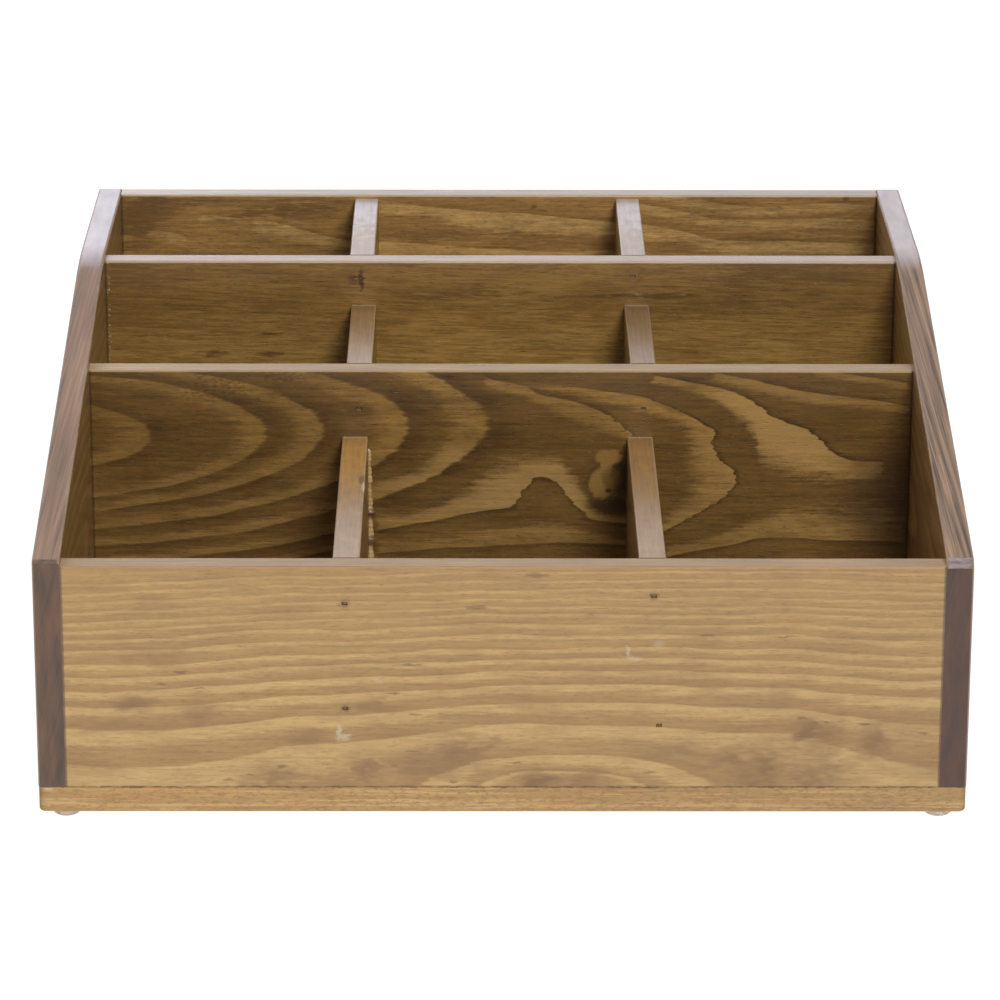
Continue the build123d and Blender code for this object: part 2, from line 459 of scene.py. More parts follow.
# Purple brown clouds in the soft wood between the rings: place, radii and strength. All of them are
# spread wider than their radii, and weakened
CLOUD_SPREAD = 1.35
CLOUD_SHARE = 0.9
FRONT_CLOUDS = (
    ((-160, 51), (7, 2.2), 0.9),
    ((-133, 47), (7, 4), 0.6),
    ((-178, 42), (9, 3), 0.4),
    ((-152, 73), (10, 3.2), 0.5),
    ((-55, 51), (7, 2.6), 0.6),
    ((-20, 28), (10, 5.5), 0.8),
    ((-37, 24), (12, 5), 0.7),
    ((-61, 20), (7, 5), 0.8),
    ((-76, 15), (8, 3.5), 0.5),
    ((-101, 16), (9, 4.5), 0.8),
    ((-84, 36), (5, 3), 0.5),
    ((16, 15), (7, 3.5), 1),
    ((36, 15.5), (6, 3.2), 0.7),
    ((79, 29.5), (8, 3), 0.6),
    ((102, 25), (7, 4.5), 0.8),
    ((113, 20), (6, 8), 0.9),
    ((135, 38.5), (8, 5), 1),
    ((163, 34.5), (5, 6.5), 0.8),
    ((138, 17), (10, 5.5), 0.7),
    ((118, 53), (7, 4), 0.35),
)

# Short dark ticks: place and radii
FRONT_TICKS = (
    ((-12, 95.6), (4, 0.8)),
    ((15, 110.4), (4.5, 0.9)),
    ((-140, 65.6), (2.6, 0.6)),
    ((-132, 58.4), (2.2, 0.5)),
    ((-148, 60), (2, 0.4)),
    ((88, 82.8), (2.6, 0.5)),
    ((123, 82.2), (4.5, 0.4)),
    ((-40, 69.2), (4, 0.5)),
    ((-38, 46), (2.4, 0.4)),
    ((-48, 56), (3, 0.4)),
    ((-40, 29), (2.2, 0.5)),
    ((-120, 15.4), (1.8, 0.7)),
    ((-110, 17.6), (1.6, 0.5)),
    ((-96, 21.8), (2, 0.4)),
    ((6, 23.4), (1.8, 0.6)),
    ((-21.5, 14.6), (1.4, 0.8)),
    ((130, 44.6), (1.8, 0.5)),
    ((141, 42.7), (2.4, 0.4)),
    ((158, 41.6), (2.6, 0.5)),
    ((183, 37.4), (2.4, 0.4)),
    ((65, 19.2), (3, 0.4)),
)

# Pale scars: place, radii and strength
FRONT_SCARS = (
    ((-71.5, 37.5), (1, 3.2), 0.65),
    ((-69.3, 35.4), (2.6, 1.2), 0.6),
    ((54, 75.5), (0.9, 2.4), 0.6),
    ((57, 72.4), (2.6, 1), 0.6),
    ((-53.5, 62), (1.8, 1.4), 0.2),
    ((67.5, 79), (2, 1.2), 0.3),
)

# Where the stain soaked in round the heads of three brads in the front panel
FRONT_BRADS = ((-68.5, 97.3), (-68.5, 48.8), (65, 100.8))


def draw_front(wood, along, x, z):
    finish, back = wood.finish, wood.back
    wood.rings(FRONT_SAWING, finish.fade(z, 104, 56) * 0.45 + 0.55)
    colour = wood.colour(along)
    ragged = finish.noise(x / 5, z / 1.8, back / 6, 3, 0.65) * 2.2
    drift = finish.noise(x / 9, z / 4, back / 9, 1, 0.5) + ragged * 0.15
    strengths = []
    for place, radii, strength in FRONT_CLOUDS:
        wide = [radius * CLOUD_SPREAD for radius in radii]
        cloud = finish.hill(x + drift * radii[0], z + drift * radii[1], place, wide)
        strengths.append(cloud * (strength * CLOUD_SHARE))
    clouds = most_of(strengths) * (wood.grain * 0.5 + 1)
    colour = finish.mix(clouds, colour, TAN.tone((138, 106, 78)))
    ticks = [finish.spot(x, z + ragged * 0.5, place, radii, 0.6) for place, radii in FRONT_TICKS]
    colour = finish.mix(most_of(ticks) * 0.5, colour, TAN.tone((100, 74, 52)))
    scars = []
    for place, radii, strength in FRONT_SCARS:
        scars.append(finish.spot(x + ragged, z + ragged, place, radii, 0.6) * strength)
    colour = finish.mix(most_of(scars), colour, TAN.tone((206, 188, 168)))
    near_head = finish.noise(x / 1.2, z / 1.2, back, 3) * 1.6
    soaked = [finish.spot(x + near_head, z + near_head, at, (1.9, 1.6), 0.6) for at in FRONT_BRADS]
    colour = finish.mix(most_of(soaked) * 0.5, colour, TAN.tone((108, 86, 56)))
    # Darker toward the right, and a dark seam along the foot
    low_right = finish.fade(x, 60, 190) * finish.fade(z, 50, 20) * 0.03
    colour = finish.scaled(colour, 1.04 - finish.fade(x, -150, 190) * 0.09 - low_right)
    seam = finish.fade(z, 12.9, 12.2) * (finish.fade(ragged, -0.6, 0.6) * 0.5 + 0.3)
    return finish.mix(seam, colour, TAN.tone((92, 70, 46)))


# The middle panel, dark, with the loops of its rings wide open to view

OLIVE = Stain(
    early=(95, 70, 36),
    late=(132, 102, 56),
    line=(64, 46, 24),
    cloud=(80, 58, 28),
    pore=(60, 42, 22),
    end=(70, 50, 30),
    streak=0.6,
    line_share=0.7,
    tooth=2.2,
    feather=0.5,
)

MIDDLE_SAWING = Sawing(
    heart_rise=(
        (-191, 116), (-110, 117.5), (-40, 121), (-5, 122), (20, 112), (60, 99), (100, 100), (191, 85),
    ),
    heart_depth=(
        (-191, 14.5), (-163, 20.7), (-110, 33), (-83, 39.6), (-43, 48), (-6, 56.5), (30, 60.8),
        (60, 62), (191, 77),
    ),
    years=((20.7, 3.4), (33.1, 3.1), (39.6, 3.2), (48, 3.3), (56.5, 3.6)),
)

# The same tree's wider years, which only show at the lower left
MIDDLE_OUTER_SAWING = replace(MIDDLE_SAWING, years=((65, 3.4), (72.2, 2.6)))

# Bands right of the left divider: the sharp edge, the soft edge, how strong, and if it is upright
MIDDLE_BANDS = (
    # The fall from the top left of the middle bay to the right divider
    (
        ((-8, 145), (0, 143), (10, 141), (20, 137), (30, 134.5), (40, 131), (50, 126), (58, 119), (63, 114)),
        ((-8, 141), (0, 138), (10, 135), (20, 130), (30, 125), (40, 121), (50, 117), (58, 113), (63, 110)),
        0.8, False,
    ),
    # The year that bulges out right of the right divider
    (
        (
            (66, 72), (71, 80), (77, 90), (80, 95), (84, 101), (88, 106), (92, 109), (96, 109.5),
            (100, 108), (103, 103.5), (108, 100), (113, 98.5), (118, 99), (121, 97), (125, 90),
            (129, 81), (132, 74), (136, 62), (139, 45), (141, 30),
        ),
        (
            (66, 64), (75, 76), (80, 80), (85, 84), (90, 88), (95, 90), (100, 88), (105, 86), (110, 86),
            (115, 87), (120, 84), (125, 72), (130, 55), (135, 38), (139, 22), (141, 10),
        ),
        1, True,
    ),
    # The broad pale tongue at the right
    (
        (
            (70, 145), (78, 144), (90, 142), (100, 140), (110, 137), (120, 131), (128, 125), (138, 121),
            (145, 117), (150, 112), (156, 107), (163, 104.5), (172, 104), (178, 104),
        ),
        (
            (70, 141), (85, 138), (100, 133), (108, 127), (114, 122), (119, 113), (121, 105),
            (130, 100), (145, 97), (160, 94.5), (170, 94), (178, 98),
        ),
        1.15, False,
    ),
    (
        ((98, 147.5), (105, 146.5), (118, 143.5), (130, 140.5), (150, 136.5), (170, 134), (189, 131)),
        ((98, 143), (118, 138), (130, 135), (150, 131), (170, 129.5), (189, 127)),
        0.7, False,
    ),
    (
        ((146, 148), (158, 146.8), (170, 145), (189, 142.5)),
        ((146, 145.5), (158, 143.5), (170, 141.5), (189, 139)),
        0.7, False,
    ),
    # The low band at the right, and the one under the arch
    (
        ((78, 56.5), (95, 60), (110, 63), (125, 66), (140, 66.3), (150, 65.5), (165, 65), (189, 64)),
        ((78, 62), (95, 66), (110, 72), (125, 78), (140, 81), (155, 83), (170, 83), (189, 77)),
        0.95, False,
    ),
    (
        ((-58, 58.5), (-20, 61), (0, 62.5), (20, 63.2), (40, 63.2), (59, 62.5)),
        ((-58, 65), (-20, 68), (0, 71), (20, 74), (40, 70), (59, 65)),
        0.7, False,
    ),
    # The arch
    (
        (
            (-58, 70), (-40, 72.5), (-30, 74), (-20, 77), (-10, 79), (0, 80.5), (6, 82.5), (9, 88),
            (13, 93), (18, 96.5), (24, 95.2), (28, 91), (32, 85), (37, 80), (42, 76.5), (48, 74.5), (59, 74),
        ),
        (
            (-58, 77), (-40, 79), (-30, 82), (-20, 87), (-10, 95), (-4, 101), (4, 104), (15, 106.5),
            (25, 106), (30, 102), (34, 97), (38, 90), (42, 83), (46, 79), (59, 77),
        ),
        0.95, False,
    ),
)


def draw_middle(wood, along, x, z):
    finish, back = wood.finish, wood.back
    past_divider = finish.fade(x, -68, -62)
    stronger = finish.fade(x, -150, 20) * 0.4 + 0.6
    left_of_arch = finish.fade(x + z * 0.4, 62, 46)
    over_arch = finish.fade(x - z * 0.9, -62, -92).most(finish.fade(z, 84, 92))
    wood.rings(MIDDLE_SAWING, stronger * left_of_arch * over_arch)
    wood.rings(MIDDLE_OUTER_SAWING, stronger * (1 - past_divider))
    for sharp, soft, share, upright in MIDDLE_BANDS:
        wood.band(sharp, soft, past_divider * share, upright)
    colour = wood.colour(along)
    pale, cloud, line = (OLIVE.tone(shown) for shown in (OLIVE.late, OLIVE.cloud, OLIVE.line))
    # The palest late wood, in the tongue at the right and in the arch
    palest = (finish.spot(x, z, (128, 120), (30, 22), 0.5) * 0.55).most(
        finish.spot(x, z, (5, 92), (48, 17), 0.5) * 0.35
    )
    colour = finish.mix(most_of(wood.late) * palest, colour, OLIVE.tone((162, 130, 82)))
    # A small knot beside the right divider: a pale cap, neck and crescent round a brown heart with
    # a dark eye, in a darker cloud, and nearly black wood to its right and under it. The cloud and
    # the nearly black wood are partly the knot's own colour and partly painted shadow of the divider
    wobble = finish.noise(x / 3, z / 3, back / 3, 3, 0.6) * 1.6
    kx, kz = x + wobble, z + wobble
    colour = finish.mix(finish.spot(x, z, (53, 92), (13, 14), 0.5) * 0.6, colour, cloud)
    # Partly dark wood, partly painted shadow that the right divider casts to its left
    beside = finish.spot(kx, kz, (57.5, 96), (6, 8), 0.5).most(
        finish.spot(kx, kz, (53, 82), (11, 3.6), 0.5)
    )
    colour = finish.mix(beside * 0.8, colour, OLIVE.tone((48, 36, 25)))
    rim = finish.spot(kx, kz, (46.8, 93), (6.6, 8.4), 0.25)
    colour = finish.mix(rim * 0.7, colour, line)
    lobes = most_of([
        finish.spot(kx, kz, (50.3, 106), (6.2, 3.6), 0.2),
        finish.spot(kx, kz, (49, 101), (2.8, 3.4), 0.3),
        finish.spot(kx, kz, (46.9, 93), (5.6, 7.2), 0.2),
    ])
    colour = finish.mix(lobes * 0.8, colour, pale)
    heart = finish.spot(kx, kz, (51.4, 95.4), (4.2, 5), 0.4)
    colour = finish.mix(heart * 0.75, colour, OLIVE.tone((92, 68, 34)))
    colour = finish.mix(finish.spot(x, z, (50.4, 89.4), (1.4, 1), 0.7), colour, line)
    # Dark tearing at the upper left, and painted shadow of the right side board in the corner at the right
    speckle = finish.fade(finish.noise(x / 2.2, z / 1.3, back / 2, 3), -0.05, 0.3)
    scar = finish.spot(x, z, (-134, 140), (14, 6), 0.6).most(finish.spot(x, z, (-101, 145), (10, 4), 0.6))
    colour = finish.mix(speckle * scar * 0.55, colour, line)
    smudge = finish.spot(kx, kz, (-65, 129), (5, 2), 0.7)
    colour = finish.mix(smudge * 0.4, colour, line)
    crack = finish.spot(x, z + x * 0.7, (93, 188.5), (4, 0.7), 0.6)
    colour = finish.mix(crack * 0.7, colour, line)
    # Painted shadow of the right side board
    corner = finish.spot(x, z, (193, 85), (24, 21), 0.8) * 0.6
    colour = finish.mix(corner, colour, OLIVE.tone((51, 39, 31)))
    # Lighter low down and darker toward the top: painted light and shade that even out how the light falls
    # down the panel
    colour = finish.scaled(colour, 1.05 - finish.fade(z, 92, 122) * 0.09)
    # Warmer toward the top
    return finish.tinted(finish.fade(z, 78, 135), colour, (1, 1.03, 1.12), (1, 0.97, 0.83))


# The rear panel, quarter sawn and straight in the grain

REAR_STAIN = Stain(
    early=(106, 79, 41),
    late=(122, 94, 52),
    line=(84, 59, 30),
    cloud=(88, 62, 31),
    pore=(70, 48, 24),
    end=(80, 58, 34),
    light=(0.58, 0.57, 0.62),
    streak=0.62,
    cloud_share=0.5,
)

# Darker and lighter places: place, radii, colour and strength
REAR_PATCHES = (
    ((20, 160), (18, 6), (126, 98, 52), 0.5),
    ((145, 166), (26, 5), (80, 56, 28), 0.55),
    ((58, 153.6), (9, 0.9), (62, 44, 20), 0.8),
    ((78, 153), (12, 1), (64, 46, 22), 0.8),
    ((92, 148), (16, 5), (82, 60, 32), 0.4),
    ((45, 150), (12, 8), (84, 58, 28), 0.4),
    ((-180, 145), (14, 9), (84, 60, 34), 0.4),
    ((-176, 163), (16, 5), (84, 62, 40), 0.5),
    ((-112, 134), (4, 0.7), (58, 40, 20), 0.8),
    ((-112, 123.6), (5, 1), (66, 46, 24), 0.7),
    ((-138, 124), (4, 1.6), (74, 50, 28), 0.7),
    ((-14, 156), (8, 2.2), (82, 58, 28), 0.5),
    ((-67, 161.3), (0.9, 4.2), (46, 32, 12), 0.95),
    ((-70.6, 161.8), (2.4, 2), (72, 47, 22), 0.9),
    ((65, 163.5), (2.9, 4.2), (78, 56, 28), 0.6),
    ((64.6, 163.8), (1.7, 3), (106, 79, 42), 0.7),
)


def draw_rear(wood, along, x, z):
    finish, back = wood.finish, wood.back
    colour = wood.colour(along)
    # The streaks fall a little to the right
    lean = z + x * 0.03
    lighter = finish.fade(finish.noise(x / 24, lean / 1.5, back / 9, 3, 0.65), 0, 0.4)
    darker = finish.fade(finish.noise(x / 18 + 9, lean / 1.2, back / 9, 3, 0.65), 0.05, 0.45)
    colour = finish.mix(lighter * 0.6, colour, REAR_STAIN.tone(REAR_STAIN.late))
    colour = finish.mix(darker * 0.6, colour, REAR_STAIN.tone(REAR_STAIN.line))
    # Lighter at the foot, a painted light that lifts the shade deep in the row, lighter in the middle, and
    # darker at the top right
    colour = finish.scaled(colour, finish.fade(z, 152, 122) * 0.25 + 0.98)
    middle = finish.fade(x.size(), 78, 40) * finish.fade(z, 156, 138)
    top_right = finish.fade(x, 82, 120) * finish.fade(z, 136, 154)
    colour = finish.scaled(colour, middle * 0.13 + 1 - top_right * 0.15)
    ragged = finish.noise(x / 9, z / 1.6, back / 12, 3, 0.65) * 2
    for place, radii, shown, strength in REAR_PATCHES:
        patch = finish.spot(x + ragged * radii[0], z + ragged * min(radii), place, radii, 0.7)
        colour = finish.mix(patch * strength, colour, REAR_STAIN.tone(shown))
    warmth = finish.fade(z, 126, 158)
    colour = finish.tinted(warmth, colour, (1, 1.05, 1.17), (0.99, 0.96, 0.87))
    # Chips of varnish down the left end, beside the joint
    chips = finish.fade(finish.noise(x / 2, z / 0.9, back, 2), 0.25, 0.5)
    chips = chips * finish.fade((x + 189.5).size(), 0.9, 0.4) * finish.fade(back, 2, 0.5)
    return finish.mix(chips * 0.75, colour, display(206, 192, 170))


# The back panel, paler, with wide bands that fall gently to the right

BACK_STAIN = Stain(
    early=(122, 92, 53),
    late=(148, 118, 74),
    line=(96, 69, 36),
    cloud=(102, 75, 42),
    pore=(84, 58, 32),
    end=(90, 66, 40),
    light=(0.57, 0.56, 0.58),
    streak=0.65,
)

# Bands that show inside the box: the sharp edge, the soft edge and how strong, all weakened alike
BACK_BAND_SHARE = 0.88
BACK_BANDS = (
    (
        ((-60, 171), (-30, 167), (-5, 165), (0, 164.5), (30, 162), (60, 159.5), (74, 158.3), (90, 156),
         (105, 152.5), (120, 150), (140, 150), (160, 149.5), (190, 149)),
        ((-60, 165), (-30, 160), (0, 153), (30, 152), (60, 151), (74, 150), (100, 146), (120, 142),
         (160, 142), (190, 142)),
        1,
    ),
    (
        ((60, 171.5), (73, 169), (85, 166.5), (100, 163.5), (115, 161), (130, 160.5), (150, 161.5),
         (190, 161)),
        ((60, 167), (73, 164), (85, 161.5), (100, 158.5), (115, 156), (130, 155.5), (150, 156),
         (190, 156)),
        0.7,
    ),
    (
        ((76, 175), (100, 171.5), (115, 169), (135, 168.5), (160, 169.5), (190, 170)),
        ((76, 171), (100, 166), (115, 164), (135, 163.5), (160, 164), (190, 165)),
        0.7,
    ),
    (
        ((-62, 150), (-30, 147.5), (0, 145.5), (30, 144), (60, 145)),
        ((-62, 144), (-30, 142), (0, 140), (30, 138), (60, 139)),
        0.7,
    ),
    (
        ((-124, 160.5), (-112, 159), (-100, 156), (-85, 152), (-72, 149.5), (-60, 149)),
        ((-124, 150), (-112, 149), (-100, 148), (-85, 145), (-72, 144), (-60, 144)),
        0.8,
    ),
    (
        ((-152, 163.5), (-140, 163), (-128, 161)),
        ((-152, 160), (-140, 159), (-128, 158)),
        0.7,
    ),
    (
        ((-178, 154.5), (-168, 154), (-158, 151)),
        ((-178, 150), (-168, 148), (-158, 147)),
        0.8,
    ),
)

# Darker places: place, radii and strength. The last is a painted shadow of the right side board
BACK_PATCHES = (
    ((-183, 160), (10, 12), 0.7),
    ((-168, 168), (10, 4), 0.6),
    ((-104, 166), (18, 3.5), 0.7),
    ((-120, 151), (6, 3), 0.3),
    ((-30, 153), (28, 2.6), 0.5),
    ((18, 168), (1, 0.8), 0.9),
    ((175, 172), (1.4, 0.9), 0.9),
    ((30, 149), (26, 2.4), 0.4),
    ((92, 147), (16, 3), 0.4),
    # Painted shadow of the right side board at the right end
    ((186, 165), (7, 12), 0.4),
)

# The same board lower down, and on its outer face
BACK_SAWING = Sawing(
    heart_rise=((-202, 62), (-60, 70), (70, 60), (202, 66)),
    heart_depth=((-202, 30), (-90, 14), (20, 8), (110, 22), (202, 40)),
    years=tuple((9 + 7.6 * year, 2.9) for year in range(16)),
)


def draw_back(wood, along, x, z):
    finish, back = wood.finish, wood.back
    inner = finish.fade(back, 9, 4)
    for sharp, soft, share in BACK_BANDS:
        wood.band(sharp, soft, inner * (share * BACK_BAND_SHARE))
    wood.rings(BACK_SAWING, finish.fade(z, 142, 128).most(1 - inner) * 0.8)
    colour = wood.colour(along)
    ragged = finish.noise(x / 12, z / 1.8, back / 12, 3, 0.65) * 2.2
    for place, radii, strength in BACK_PATCHES:
        patch = finish.spot(x + ragged * radii[0], z + ragged * radii[1], place, radii, 0.8)
        colour = finish.mix(patch * strength, colour, BACK_STAIN.tone((84, 60, 36)))
    # Lighter in the middle, most at the foot of what shows, where painted light lifts the shade deep in the
    # row, and darker at the right end
    middle = finish.fade(x.size(), 112, 66) * (finish.fade(z, 162, 146) * 0.17 + 0.05)
    return finish.scaled(colour, middle + 1 - finish.fade(x, 110, 176) * 0.12)


# The side boards, with the darkest stain, which their cut ends drank

WALNUT = Stain(
    early=(94, 69, 38),
    late=(112, 84, 48),
    line=(70, 49, 27),
    cloud=(80, 57, 33),
    pore=(58, 40, 24),
    end=(80, 60, 44),
    light=(0.56, 0.55, 0.56),
    streak=0.5,
)


def side_board_wood(
    name, outward, seed, sawing, figure, inner_light, nose_dark,
    end_shown, slope_shown, level_shown, bevel_shown,
):
    """outward is -1 on the left board and 1 on the right one. figure is how strong the grain of
    the sloped top is, and inner_light how much lighter the inner face is than the outer one.
    nose_dark is how much darker the sloped top is at its nose, and the two places between which
    it darkens. The colours are those of the front end, the sloped top, its level part and the
    bevel at its nose. The level part's pale colour is partly painted reflection."""
    finish = Finish(name)
    x, y, z = finish.places()
    facings = finish.facings()
    low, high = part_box("left_side" if outward < 0 else "right_side")
    inner = (high.x if outward < 0 else low.x) * PER_METRE
    back = (x - inner) * outward
    wood = Wood(finish, y, z, back, WALNUT, seed)
    wood.rings(sawing)
    inside = finish.fade(back, 1, 0.3) * inner_light + 1
    colour = finish.scaled(wood.colour(facings[1] * 0.9), inside)
    # The sloped and level tops, with long streaks that drift outward toward the front
    top = finish.fade(facings[2], 0.8, 0.9)
    level = finish.fade(facings[2], 0.985, 0.998)
    drift = (back + y * 0.06) / 2
    streak = finish.noise(y / 80, drift, seed, 2, 0.5)
    fine = finish.noise(y / 50, drift * 4, seed, 2, 0.5)
    darker, dark_from, dark_to = nose_dark
    nose = finish.fade(y, dark_from, dark_to) * darker
    figured = (streak * 0.65 + fine * 0.35) * figure + 1 - nose
    shown = finish.scaled(display(*slope_shown), figured)
    vein = finish.noise(y / 110, drift * 0.8 + 5, seed, 1, 0.4)
    veins = finish.fade(vein.size(), 0.03, 0) * (figure * 0.3)
    shown = finish.mix(veins, shown, display(96, 80, 72))
    clouded = finish.noise(y / 26, back / 7, seed, 2) * 0.3 + 1
    # The level part's pale colour is partly painted reflection
    level_wood = finish.scaled(display(*level_shown), clouded)
    colour = finish.mix(top * 0.9, colour, finish.mix(level, shown, level_wood))
    # The front end, cut across the grain: its rings rise as fine lines to the right
    front = finish.fade(facings[1], 0.8, 0.95)
    growth = finish.noise((x - z * 0.3) / 1.1, z / 60, seed, 2, 0.5)
    dark = finish.noise(x / 5, z / 24, seed, 2)
    shown = finish.scaled(TAN.tone(end_shown), (growth * 0.28 + dark * 0.65 + 1).most(0.4))
    colour = finish.mix(front, colour, shown)
    bevel = finish.fade(facings[1], 0.5, 0.65) * finish.fade(facings[2], 0.5, 0.65)
    rubbed = finish.noise(x / 5, z / 1.2, seed, 2) * 0.9 + 1
    colour = finish.mix(bevel * 0.9, colour, finish.scaled(display(*bevel_shown), rubbed))
    # Pale eased edges, partly worn and partly a painted highlight
    edge = arris_of(finish, facings)
    colour = finish.mix(edge * (1 - bevel) * 0.5, colour, display(164, 144, 128))
    return varnished(finish, wood, colour, edge.most(bevel), 0.40)


LEFT_SAWING = Sawing(
    heart_rise=((-202, 70), (-80, 78), (60, 72), (202, 80)),
    heart_depth=((-202, 10), (-60, 26), (90, 40), (202, 47)),
    years=tuple((12 + 7.5 * year, 2.6) for year in range(16)),
)

RIGHT_SAWING = Sawing(
    heart_rise=((-202, 96), (-60, 84), (80, 92), (202, 86)),
    heart_depth=((-202, 46), (-40, 36), (100, 22), (202, 8)),
    years=tuple((10 + 7 * year, 2.4) for year in range(17)),
)


# The dividers, each from its own strip

def divider_wood(name, seed, top_back, top_front, heel_share):
    """top_back and top_front are the colours of the top at its two ends, partly painted reflection,
    and heel_share is how much darker it is just before it meets the panel behind, a painted
    reflection of that panel."""
    finish = Finish(name + "_pine")
    x, y, z = finish.places()
    facings = finish.facings()
    low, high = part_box(name)
    back = x - low.x * PER_METRE
    wood = Wood(finish, y, z, back, WALNUT, 31 + seed * 5)
    wood.rings(Sawing(
        heart_rise=((-202, 40 + seed * 3), (202, 52 + seed * 2)),
        heart_depth=((-202, 8 + seed), (202, 22 - seed)),
        years=tuple((8 + 6.6 * year, 2) for year in range(20)),
    ))
    colour = wood.colour(facings[1])
    rear = high.y * PER_METRE
    length = rear - low.y * PER_METRE
    streak = finish.noise(y / 40, back / 1.2, seed * 7, 2, 0.6)
    mottle = finish.noise(y / 9, back / 6, seed * 5, 2)
    # The top runs from its back colour to its front one, partly painted reflection
    along = finish.fade(y + mottle * 24, rear - length * 0.2, rear - length * 0.75)
    top = finish.mix(along, display(*top_back), display(*top_front))
    top = finish.scaled(top, streak * 0.25 + mottle * 0.2 + 1)
    # A painted reflection of the darker panel behind
    heel = finish.fade(y + mottle * 6, rear - 16, rear - 4) * heel_share
    top = finish.mix(heel, top, display(104, 76, 54))
    top = finish.mix(finish.fade(y, rear - 2, rear - 1) * 0.5, top, display(206, 188, 160))
    rim = finish.fade(facings[2], 0.75, 0.95)
    colour = finish.mix(rim * 0.9, colour, top)
    # Pale eased edges, partly worn and partly a painted highlight
    edge = arris_of(finish, facings)
    colour = finish.mix(edge * 0.4, colour, display(200, 174, 138))
    if name == "front_left_divider":
        # A nick in the right edge, with a pale fibre that stands up beside it
        inward = high.x * PER_METRE - x
        nick = finish.spot(inward, y, (1.5, -88), (1.3, 5), 0.6) * rim
        crest = (high.z - UNDERSIDE) * PER_METRE
        fibre = finish.spot(inward, y, (0.5, -97), (0.6, 6), 0.5) * finish.fade(
            z, crest - 4, crest - 3
        )
        colour = finish.mix(nick * 0.6, colour, display(84, 66, 52))
        colour = finish.mix(fibre * 0.6, colour, display(228, 210, 188))
    return varnished(finish, wood, colour, edge * 0.6, 0.40)


# The base board, whose front edge is pale and speckled

BASE_SAWING = Sawing(
    heart_rise=((-203, 6), (203, 6)),
    heart_depth=((-203, 44), (-70, 26), (60, 34), (203, 12)),
    years=tuple((9 + 9.5 * year + year * 7 % 5, 2.4 + year % 3) for year in range(24)),
    tilt=1,
)


def base_board_wood():
    finish = Finish("tan_base_pine")
    x, y, z = finish.places()
    facings = finish.facings()
    stain = replace(TAN, light=(1.10, 1.09, 1.26))
    wood = Wood(finish, x, z, y, stain, 41, coarse=1)
    broad = finish.fade(facings[2], 0.5, 0.9)
    wood.rings(BASE_SAWING, broad * 0.65)
    layers = finish.fade(finish.noise(x / 70, y / 9, z / 1.3, 3, 0.65), -0.10, 0.22)
    rust = finish.fade(finish.noise(x / 22, y / 5, z / 1.2 + 3, 3, 0.65), 0.02, 0.26)
    speck = finish.fade(finish.noise(x / 3, y / 3, z / 1.1 + 7, 3, 0.65), 0.02, 0.3)
    # The cut ends, at the left and the right, show less of all three, and the broad faces nearly none
    long_side = (1 - finish.fade(facings[0], 0.5, 0.9) * 0.7) * (1 - broad * 0.9)
    colour = finish.mix(layers * long_side * 0.7, wood.colour(facings[0]), stain.tone((203, 168, 120)))
    colour = finish.mix(rust * long_side * 0.5, colour, stain.tone((188, 136, 90)))
    colour = finish.mix(speck * long_side * 0.48, colour, stain.tone((144, 110, 72)))
    colour = finish.scaled(colour, 1.09 - finish.fade(x, -180, 190) * 0.17)
    # Pale eased edges, partly worn and partly a painted highlight
    edge = arris_of(finish, facings)
    colour = finish.mix(edge * 0.3, colour, stain.tone((196, 166, 122)))
    # A whitish chip at the top of the left end, and a dark seam along the top of the front
    chip = finish.spot(x + speck * 2, z, (-198.5, 11), (1.7, 0.7), 0.5) * (1 - broad)
    colour = finish.mix(chip * 0.5, colour, stain.tone((206, 196, 178)))
    seam = finish.fade(z, 11.3, 11.8) * finish.fade(speck, -0.4, 0.8) * (1 - broad)
    colour = finish.mix(seam * 0.7, colour, stain.tone((92, 70, 46)))
    return varnished(finish, wood, colour, edge, 0.46)


def brad_steel():
    finish = Finish("stained_brad_steel")
    x, y, z = finish.places()
    tarnish = finish.fade(finish.noise(x / 0.5, y / 0.5, z / 0.5, 3), -0.3, 0.7)
    colour = finish.mix(tarnish, display(150, 118, 82), display(110, 82, 56))
    return finish.close(colour, 0.38 + tarnish * 0.25, tarnish, Metallic=0.3)


def clear_rubber():
    finish = Finish("clear_bumper_rubber")
    x, y, z = finish.places()
    haze = finish.fade(finish.noise(x / 2.2, y / 2.2, z / 2.2, 3), -0.2, 0.3)
    colour = finish.mix(haze, display(228, 208, 192), display(204, 172, 148))
    # The left ones browner, painted shade as a dark outline along the lowest edge, and wood that shows
    # through at the board, painted in
    colour = finish.mix(finish.fade(x, 20, -20) * 0.55, colour, display(186, 150, 118))
    colour = finish.mix(finish.fade(z, -2.3, -3) * 0.8, colour, display(148, 120, 98))
    colour = finish.mix(finish.fade(z, -1.6, -0.4) * 0.5, colour, display(196, 158, 120))
    return finish.close(
        colour, 0.10 + haze * 0.10, haze, IOR=1.47, Transmission_Weight=0.30, Coat_Weight=0.3
    )


# The two dark drops that hang on the bead of glue: height, reach up and down, and how far they swell
GLUE_DROPS = ((78.6, 1.6, 1.5), (64.8, 1.8, 1.6))


def dried_glue():
    finish = Finish("dried_glue")
    x, y, z = finish.places()
    amber = finish.fade(finish.noise(x / 3, y / 3, z / 5, 3), -0.5, 0.8)
    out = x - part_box("front_left_divider")[1].x * PER_METRE
    drops = [finish.spot(out, z, (2.3, rise), (2.6, reach + 0.4), 0.6) for rise, reach, _ in GLUE_DROPS]
    colour = finish.mix(amber, display(196, 168, 122), display(168, 132, 84))
    colour = finish.mix(most_of(drops) * 0.85, colour, display(88, 52, 30))
    return finish.close(colour, 0.3 + amber * 0.2, amber, IOR=1.46)


# Pieces worked out as surfaces

